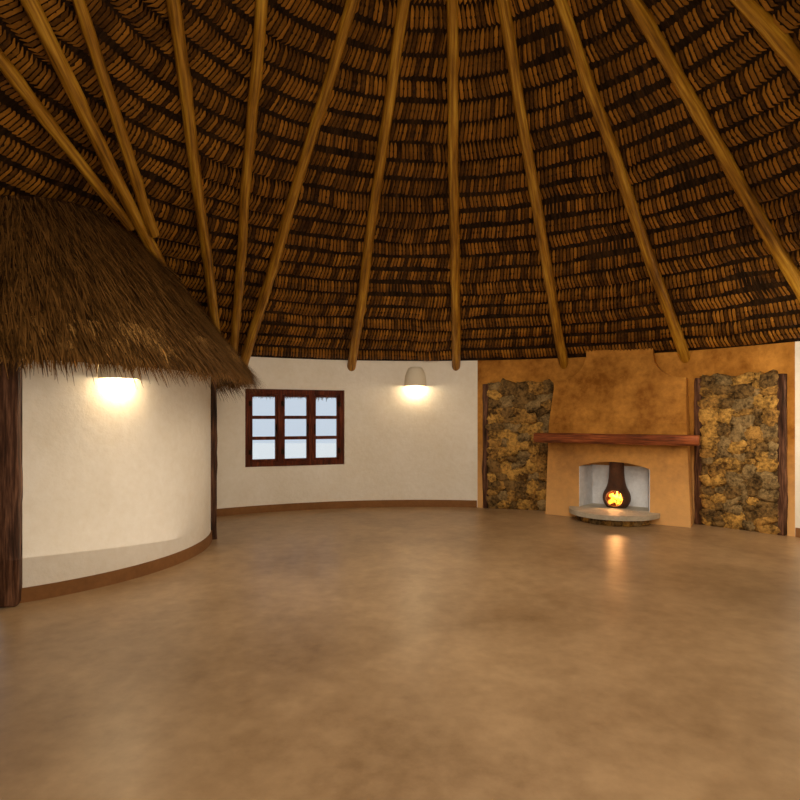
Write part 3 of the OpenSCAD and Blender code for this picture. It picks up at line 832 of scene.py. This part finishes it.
def make_hood_fringe():
    """Shaggy ends that lie over the hood's eave and hang below it."""
    inner = HOOD_R - 0.15
    ends = ring_band(PORCH, inner, HOOD_R + 0.015, hood_height(inner) + 0.015, HOOD_TOP - 0.03,
                     radians(-110), radians(60), 80)
    scatter_blades(ends, model_blade(0.15, 0.017, 0.05), density=9000.0, seed=21, centre=PORCH,
                   pitch=radians(66), lift=0.3, spread=0.60, low=0.4, high=1.2)
    roughen(ends, 0.13, 0.30, "Z")
    cut_away(ends, "FACE", lambda face: not from_axis(face.center) < ROOM_R - 0.02)
    finish_piece(ends, "hood_fringe", HOOD_ENDS)


def make_eave_fringe():
    """Cut ends of the thatch along the eave, left out where it is trimmed over the entrance."""
    half_trim = EAVE_TRIM / EAVE_R + 0.01
    edge = EAVE_R + THATCH_T * sin(PITCH)
    low = roof_under(EAVE_R)
    ends = ring_band(HUT_AXIS, EAVE_R - 0.03, edge - 0.04, low + 0.01,
                     low + THATCH_T * cos(PITCH) - 0.03,
                     PORCH_TURN + half_trim, PORCH_TURN + 2 * pi - half_trim, 200)
    scatter_blades(ends, model_blade(0.11, 0.014, 0.01), density=2600.0, seed=33,
                   centre=HUT_AXIS, pitch=PITCH, lift=0.15, spread=0.22, low=0.5, high=1.0)
    finish_piece(ends, "eave_fringe", EAVE_GRASS)


make_hood_grass()
make_hood_fringe()
make_eave_fringe()


# ---- hearth: field stones, posts, mantel, whitewashed opening and fire ----

AT_HEARTH = rotate(HEARTH_TURN)
LEFT_PANEL = (radians(67.9), radians(78.4))
RIGHT_PANEL = (radians(36.0), radians(45.6))
STONE_X = ROOM_R - 0.025 + 0.012
STONE_DEPTH = 0.058
STONE_LAP = 1.16
BASE_X = 4.82
BASE_R = 0.475


def model_stone(seed):
    """A lump that is roughened at its own place in the noise, then moved back."""
    away = seed * 3.1
    stone = add_primitive("cube", size=2)
    edit(stone)
    bpy.ops.mesh.subdivide(number_cuts=3)
    bpy.ops.transform.tosphere(value=0.72)
    leave_edit()
    stone.location = (away, 0, 0)
    settle(stone)
    roughen(stone, 1.0, 0.9)
    roughen(stone, 0.5, 0.4)
    stone.location = (-away, 0, 0)
    return settle(stone)


def split_cells(left, right, low, high, cells):
    """Cuts a rectangle into uneven cells, as big as the stones of a rubble wall."""
    width, height = right - left, high - low
    if width < 0.26 and height < 0.20 or width * height < 0.018:
        cells.append((left, right, low, high))
        return
    share = draw.uniform(0.30, 0.70)
    if width > height * draw.uniform(0.9, 1.5):
        middle = left + width * share
        split_cells(left, middle, low, high, cells)
        split_cells(middle, right, low, high, cells)
    else:
        middle = low + height * share
        split_cells(left, right, low, middle, cells)
        split_cells(left, right, middle, high, cells)


def size_stone(kind, half_size):
    stone = copy_of(kind)
    stone.scale = half_size
    return settle(stone)


def lay_panel(kinds, laid, start, end):
    """Fills a stone panel between two turns, a stone in each cell."""
    cells = []
    split_cells(0.0, (end - start) * ROOM_R, 0.0, PANEL_H, cells)
    for left, right, low, high in cells:
        turn = start + (left + right) / 2 / ROOM_R
        lift = draw.uniform(-0.01, 0.02)
        spot = Vector((STONE_X + draw.uniform(-0.006, 0.01), 0,
                       FLOOR_TOP + (low + high) / 2 + lift))
        stone = size_stone(draw.choice(kinds), (
            STONE_DEPTH, (right - left) * STONE_LAP / 2, (high - low) * STONE_LAP / 2))
        roll = rotate(radians(draw.uniform(-34, 34)), "X")
        place(stone, rotate(turn) @ Matrix.Translation(spot) @ roll)
        laid[draw.randrange(len(STONES))].append(stone)


def make_field_stones():
    kinds = [model_stone(k + 1) for k in range(6)]
    laid = [[] for _ in STONES]
    for start, end in (LEFT_PANEL, RIGHT_PANEL):
        lay_panel(kinds, laid, start, end)
    # The base under the hearth's slab bows out into the room
    for k in range(9):
        bow = radians(-64 + 16 * k)
        spot = Vector((BASE_X - BASE_R * cos(bow), BASE_R * sin(bow), FLOOR_TOP + 0.04))
        stone = size_stone(kinds[k % 6], (0.035, 0.075, 0.042))
        place(stone, AT_HEARTH @ Matrix.Translation(spot) @ rotate(-bow))
        laid[k % 4].append(stone)
    for (name, material), stones in zip(STONES.items(), laid):
        finish_piece(join(stones), "field_stones_" + name, material, 60)
    remove(*kinds)


def model_rough_plank(width, depth, height, seed, cuts, wander):
    """An upright baulk with hewn, wandering faces, its foot on the origin."""
    plank = model_block((depth, width, height), (seed, 0, height / 2))
    cut_across(plank, [height * k / cuts for k in range(1, cuts)])
    apply_modifier(plank, "BEVEL", width=min(width, depth) * 0.16, segments=2,
                   limit_method="ANGLE")
    roughen(plank, wander, 0.35, "Y")
    roughen(plank, wander * 0.4, 0.12)
    plank.location = (-seed, 0, 0)
    return settle(plank)


def make_hearth_posts():
    posts = []
    for k, turn in enumerate((35.48, 46.08, 78.92)):
        post = model_rough_plank(0.088, 0.10, PANEL_H, 5.0 + 2 * k, cuts=18, wander=0.035)
        foot = shift(ROOM_R - 0.005, 0, FLOOR_TOP)
        posts.append(place(post, rotate(radians(turn)) @ foot))
    piece = join(posts)
    finish_piece(piece, "rough_hearth_posts", DARK_WOOD, 40)
    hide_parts("hearth_posts")


def make_mantel():
    length, depth, thick, top, cuts = 2.12, 0.21, 0.135, FLOOR_TOP + 1.185, 14
    beam = model_block((depth, length, thick), (BREAST_X - depth / 2, 0, top - thick / 2))
    cut_across(beam, [length * (k / cuts - 0.5) for k in range(1, cuts)], Vector((0, 1, 0)))
    apply_modifier(beam, "BEVEL", width=0.016, segments=3, limit_method="ANGLE")
    roughen(beam, 0.012, 0.25, "Z")
    place(beam, AT_HEARTH)
    finish_piece(beam, "hewn_mantel", LEVEL_RED_WOOD, 40)
    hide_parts("mantel")


def finish_lining(lining, unwanted, name, material):
    """Leaves the wanted faces of the opening, as a thin coat that faces into it."""
    cut_away(lining, "FACE", unwanted)
    edit(lining)
    bpy.ops.mesh.flip_normals()
    leave_edit()
    apply_modifier(lining, "SOLIDIFY", thickness=0.006, offset=1)
    place(lining, AT_HEARTH)
    finish_piece(lining, name, material)


def make_firebox():
    """Whitewash on the sides and back of the fire opening, and a cement floor in it."""
    front, back, front_half, back_half, height = BREAST_X, BREAST_X + 0.388, 0.464, 0.379, 0.57
    walls = model_block((back - front, 2 * back_half, height),
                        ((front + back) / 2, 0, HEARTH_TOP + height / 2 + 0.001))
    for vertex in walls.data.vertices:
        if vertex.co.x < front + 0.01:
            vertex.co.y *= front_half / back_half
    ground = copy_of(walls)
    finish_lining(walls, lambda face: abs(face.normal.z) > 0.5 or face.normal.x < -0.9,
                  "firebox_whitewash", FIREBOX_WHITE)
    finish_lining(ground, lambda face: face.normal.z > -0.5,
                  "firebox_floor", HEARTH_CEMENT)


POT_X = BREAST_X + 0.20
POT_MIDDLE = HEARTH_TOP + 0.141
POT_R = 0.185
MOUTH_R = 0.121


def make_fire():
    logs = []
    for turn, tilt, x, y, z in ((20, 74, -0.03, -0.02, -0.07), (-34, 80, 0.0, 0.03, -0.045),
                                (75, 62, -0.05, 0.0, -0.01)):
        log = add_primitive("cylinder", vertices=10, radius=0.027, depth=0.19)
        edit(log)
        bpy.ops.mesh.subdivide(number_cuts=2)
        leave_edit()
        roughen(log, 0.012, 0.04)
        aim = rotate(radians(turn)) @ rotate(radians(tilt), "Y")
        spot = shift(POT_X + x, y, POT_MIDDLE + z)
        logs.append(place(log, AT_HEARTH @ spot @ aim))
    finish_piece(join(logs), "burning_logs", EMBER, 60)
    flames = []
    for x, y, size in ((0.0, -0.05, 0.07), (0.03, 0.0, 0.09), (0.0, 0.05, 0.065),
                       (-0.03, 0.015, 0.05)):
        flame = add_primitive("uv_sphere", segments=10, ring_count=8, radius=1)
        for vertex in flame.data.vertices:
            # Drawn out to a point above the middle
            pull = max(0.0, vertex.co.z)
            vertex.co.x *= 1 - 0.75 * pull
            vertex.co.y *= 1 - 0.75 * pull
            vertex.co.z *= 1 + pull
        flame.scale = (size * 0.3, size * 0.42, size * 0.72)
        spot = shift(POT_X + x, y, POT_MIDDLE - 0.03)
        flames.append(place(settle(flame), AT_HEARTH @ spot))
    finish_piece(join(flames), "flames", FLAME, 80)


def model_turned(outline, sides):
    """A closed ring from an outline of (radius, height), each loop extruded from the last one."""
    far, up = outline[0]
    ring = add_primitive("circle", vertices=sides, radius=far, location=(0, 0, up))
    settle(ring)
    edit(ring)
    bpy.ops.mesh.select_mode(type="VERT")
    bpy.ops.mesh.select_all(action="SELECT")
    for next_far, next_up in outline[1:] + outline[:1]:
        bpy.ops.mesh.extrude_region_move(
            TRANSFORM_OT_translate={"value": (0, 0, next_up - up)})
        bpy.ops.transform.resize(value=(next_far / far, next_far / far, 1),
                                 center_override=(0, 0, 0))
        far, up = next_far, next_up
    close_up()
    return ring


# The neck's outside from the belly up, then its inside down the solid's flue
NECK_OUTLINE = [(0.150, 0.250), (0.131, 0.294), (0.117, 0.340), (0.107, 0.400), (0.100, 0.480),
                (0.096, 0.570), (0.094, 0.660), (0.0585, 0.660), (0.0585, 0.362),
                (0.088, 0.300), (0.134, 0.262)]


def make_pot_collar():
    """A rolled clay rim round the stove's mouth, and the thick clay of its neck."""
    rim = add_primitive("torus", major_radius=MOUTH_R, minor_radius=0.013, major_segments=48,
                        minor_segments=8)
    mouth_far = sqrt(POT_R ** 2 - MOUTH_R ** 2)
    place(rim, AT_HEARTH @ shift(POT_X - mouth_far, 0, POT_MIDDLE)
          @ rotate(pi / 2, "Y"))
    neck = place(model_turned(NECK_OUTLINE, 48),
                 AT_HEARTH @ shift(POT_X, 0, HEARTH_TOP))
    finish_piece(join([rim, neck]), "pot_rims", CLAY, 80)


make_field_stones()
make_hearth_posts()
make_mantel()
make_firebox()
make_fire()
make_pot_collar()


# ---- windows ----

LIGHT_W = (WINDOW_W - 0.001 - 4 * FRAME_W) / 3
LIGHT_H = WINDOW_H - 0.001 - 2 * FRAME_W
SASH_W = 0.034
BAR_W = 0.05
OUTER_SILL_X = 5.273
OUTER_SILL_D = 0.31


def model_bar(size, middle, bevel=0.003):
    bar = model_block(size, middle)
    apply_modifier(bar, "BEVEL", width=bevel, segments=2)
    return bar


def model_sash():
    """One opening light: two stiles, two rails and two bars, centred on Y, its foot at Z 0."""
    x = WINDOW_X + FRAME_W / 2
    side = (LIGHT_W - SASH_W) / 2 - 0.001
    bars = [model_bar((0.044, SASH_W, LIGHT_H - 0.002), (x, y, LIGHT_H / 2))
            for y in (-side, side)]
    inner = LIGHT_W - 2 * SASH_W
    for share in (0, 1):
        height = SASH_W / 2 + share * (LIGHT_H - SASH_W)
        bars.append(model_bar((0.042, inner, SASH_W), (x, 0, height)))
    for share in (1 / 3, 2 / 3):
        height = SASH_W + share * (LIGHT_H - 2 * SASH_W)
        bars.append(model_bar((0.036, inner, BAR_W), (x, 0, height)))
    return join(bars)


def model_catch():
    plate = model_bar((0.004, 0.022, 0.10), (WINDOW_X + 0.013, 0, 0.5))
    lever = model_bar((0.012, 0.014, 0.12), (WINDOW_X + 0.002, 0, 0.46), 0.004)
    boss = add_primitive("cylinder", vertices=16, radius=0.009, depth=0.02,
                         location=(WINDOW_X + 0.006, 0, 0.51), rotation=(0, pi / 2, 0))
    return join([plate, lever, settle(boss)])


def model_hinge():
    leaf = model_bar((0.004, 0.05, 0.07), (WINDOW_X - 0.002, 0, 0), 0.001)
    pin = add_primitive("cylinder", vertices=12, radius=0.006, depth=0.08,
                        location=(WINDOW_X - 0.005, 0, 0))
    return join([leaf, settle(pin)])


def make_outer_sill(name, turn):
    """A cement sill outside a window, its top sloped to shed the rain."""
    sill = model_bar((OUTER_SILL_D, WINDOW_W - 0.004, 0.045),
                     (OUTER_SILL_X + OUTER_SILL_D / 2, 0, SILL + 0.0235), 0.008)
    for vertex in sill.data.vertices:
        if vertex.co.x > OUTER_SILL_X + 0.127 and vertex.co.z > SILL + 0.02:
            vertex.co.z -= 0.018
    place(sill, rotate(turn))
    finish_piece(sill, name + "_outer_sill", HEARTH_CEMENT, 40)


def make_windows():
    sash, catch, hinge = model_sash(), model_catch(), model_hinge()
    for name, turn in zip(("window", "east_window", "rear_window"), WINDOW_TURNS):
        sashes, iron = [], []
        for k in (-1, 0, 1):
            spot = rotate(turn) @ shift(0, k * (LIGHT_W + FRAME_W), SILL + FRAME_W)
            sashes.append(place(copy_of(sash), spot))
            # The outer lights hang on the frame's sides, the middle one as the right one does
            hung = k if k else 1
            catch_y = -hung * (LIGHT_W / 2 - 0.018)
            iron.append(place(copy_of(catch), spot @ shift(0, catch_y, 0)))
            for height in (0.14, LIGHT_H - 0.14):
                at = shift(0, hung * LIGHT_W / 2, height)
                iron.append(place(copy_of(hinge), spot @ at))
        finish_piece(join(sashes), name + "_sashes", RED_WOOD, 40)
        finish_piece(join(iron), name + "_iron", STEEL, 40)
        make_outer_sill(name, turn)
    remove(sash, catch, hinge)


make_windows()


# ---- doorways, skirting and lamps ----

INNER_TURN = radians(-67)
INNER_DOOR_W = 0.85
PORCH_WALL_T = 0.22


def make_inner_posts():
    """Two baulks and a beam round the inner doorway, modelled at the origin."""
    height = 2.06
    reach = INNER_DOOR_W / 2 + 0.07
    posts = []
    for k, side in enumerate((-1, 1)):
        post = model_rough_plank(0.135, 0.25, height, 11.0 + 2 * k, cuts=22, wander=0.04)
        posts.append(place(post, shift(0, side * reach, 0)))
    beam = model_rough_plank(0.12, 0.24, 2 * reach + 0.13, 17.0, cuts=10, wander=0.03)
    place(beam, shift(0, -(reach + 0.065), height - 0.075)
          @ rotate(-pi / 2, "X"))
    piece = join(posts + [beam])
    middle = PORCH_R - PORCH_WALL_T + 0.13
    place(piece, shift(PORCH.x, PORCH.y, FLOOR_TOP) @ rotate(INNER_TURN) @ shift(middle, 0, 0))
    finish_piece(piece, "rough_door_posts", DARK_WOOD, 40)
    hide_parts("inner_door_posts")


def make_hood_post():
    """A thin rough post against the porch wall, where the wall turns out of sight."""
    height, cuts = 2.0, 14
    post = add_primitive("cone", vertices=12, radius1=0.042, radius2=0.034, depth=height,
                         location=(0, 0, height / 2))
    settle(post)
    cut_across(post, [height * k / cuts for k in range(1, cuts)])
    for direction, strength, scale in (("X", 0.05, 0.5), ("Y", 0.05, 0.6),
                                       ("NORMAL", 0.015, 0.12)):
        roughen(post, strength, scale, direction)
    foot = PORCH + polar(PORCH_R + 0.03, radians(18.3), FLOOR_TOP)
    place(post, Matrix.Translation(foot))
    finish_piece(post, "hood_post", DARK_WOOD, 60)


def make_skirting():
    bands = []
    # Centre, wall's radius, the side the band is on, and the degrees it starts and ends at
    for centre, wall_r, side, start, end in (
            (HUT_AXIS, ROOM_R, -1, 80.4, 131.0), (HUT_AXIS, ROOM_R, -1, 186.0, 394.0),
            (PORCH, PORCH_R, 1, -52.5, 62.0), (PORCH, PORCH_R, 1, -110.0, -83.0)):
        bands.append(ring_band(centre, wall_r + side * 0.012, wall_r + side * 0.008,
                               FLOOR_TOP, FLOOR_TOP + 0.11, radians(start),
                               radians(end), round((end - start) / 2)))
    piece = join(bands)
    apply_modifier(piece, "SOLIDIFY", thickness=0.010, offset=0)
    finish_piece(piece, "skirting", SKIRTING, 40)


# Place and watts of each wall lamp
LAMP_FAR = 5.13
WALL_LAMPS = [
    (polar(LAMP_FAR, radians(91), FLOOR_TOP + 1.95), 9),
    (polar(LAMP_FAR, radians(24), FLOOR_TOP + 1.95), 26),
    (PORCH + polar(PORCH_R + 0.085, radians(-32), FLOOR_TOP + 1.78), 9),
]


def make_bulbs():
    bulbs = []
    for spot, _ in WALL_LAMPS:
        bulb = add_primitive("uv_sphere", segments=16, ring_count=10, radius=0.03, location=spot)
        for vertex in bulb.data.vertices:
            if vertex.co.z > 0:
                vertex.co.z *= 1.3
        bulbs.append(settle(bulb))
    finish_piece(join(bulbs), "lamp_bulbs", BULB, 80)


make_inner_posts()
make_hood_post()
make_skirting()
make_bulbs()


# ---- stage, lights and camera ----

WARM = (1.0, 0.875, 0.705)
# Name, place, watts, size, aim and spread in degrees of the soft lamps in the room
ROOM_LAMPS = [
    ("room front", (0.2, -3.4, 2.3), 116, 2.4, (0.4, 3.2, 1.0), 180),
    ("room up", (-1.6, 0.4, 0.5), 13, 3.0, (-1.8, 0.9, 5.0), 180),
    ("room down", (0.4, 1.2, 3.4), 70, 2.2, (0.4, 1.6, 0.0), 180),
    ("room right", (2.4, 0.6, 2.2), 20, 1.2, (4.9, 2.8, 1.2), 95),
]


def make_stage():
    ground = add_primitive("plane", size=60, location=(0, 0, -0.002))
    ground.name = "stage_floor"
    ground.data.materials.append(plain("stage floor", 0.9, Base_Color=(0.78, 0.78, 0.76, 1)))


def add_light(kind, name, spot, energy, colour, aim=None):
    """Adds a light that the camera doesn't see as a bright shape."""
    data = bpy.data.lights.new(name, kind)
    data.energy = energy
    data.color = colour
    light = bpy.data.objects.new(name, data)
    bpy.context.collection.objects.link(light)
    light.location = spot
    if aim is not None:
        toward = Vector(aim) - Vector(spot)
        light.rotation_euler = toward.to_track_quat("-Z", "Y").to_euler()
    light.visible_camera = False
    light.visible_glossy = kind != "AREA"
    return data


def light_scene():
    world = bpy.data.worlds.new("pale sky")
    bpy.context.scene.world = world
    world.use_nodes = True
    background = world.node_tree.nodes["Background"]
    background.inputs["Color"].default_value = (0.76, 0.86, 1.0, 1)
    background.inputs["Strength"].default_value = 0.8
    sun = add_light("SUN", "soft sun", (6, -8, 12), 1.6, (1.0, 0.96, 0.9), (0, 0, 1))
    sun.angle = 0.35
    for name, spot, watts, size, aim, spread in ROOM_LAMPS:
        lamp = add_light("AREA", name, spot, watts, WARM, aim)
        lamp.size = size
        lamp.spread = radians(spread)
    fire = AT_HEARTH @ Vector((POT_X - 0.06, 0, POT_MIDDLE + 0.05))
    add_light("POINT", "fire", fire, 7, (1.0, 0.5, 0.18)).shadow_soft_size = 0.05
    for index, (spot, watts) in enumerate(WALL_LAMPS):
        lamp = add_light("POINT", "lamp_%d" % index, spot - Vector((0, 0, 0.05)), watts,
                         (1.0, 0.80, 0.52))
        lamp.shadow_soft_size = 0.04


def place_camera():
    data = bpy.data.cameras.new("room camera")
    data.sensor_width = 36
    data.lens = 25.83
    data.shift_y = 0.0225
    data.clip_end = 200
    camera = bpy.data.objects.new("room camera", data)
    bpy.context.collection.objects.link(camera)
    camera.location = (-0.334, -3.84, 1.48)
    camera.rotation_euler = (pi / 2, 0, 0)
    bpy.context.scene.camera = camera


make_stage()
light_scene()
place_camera()
bpy.context.scene.view_settings.view_transform = "Standard"
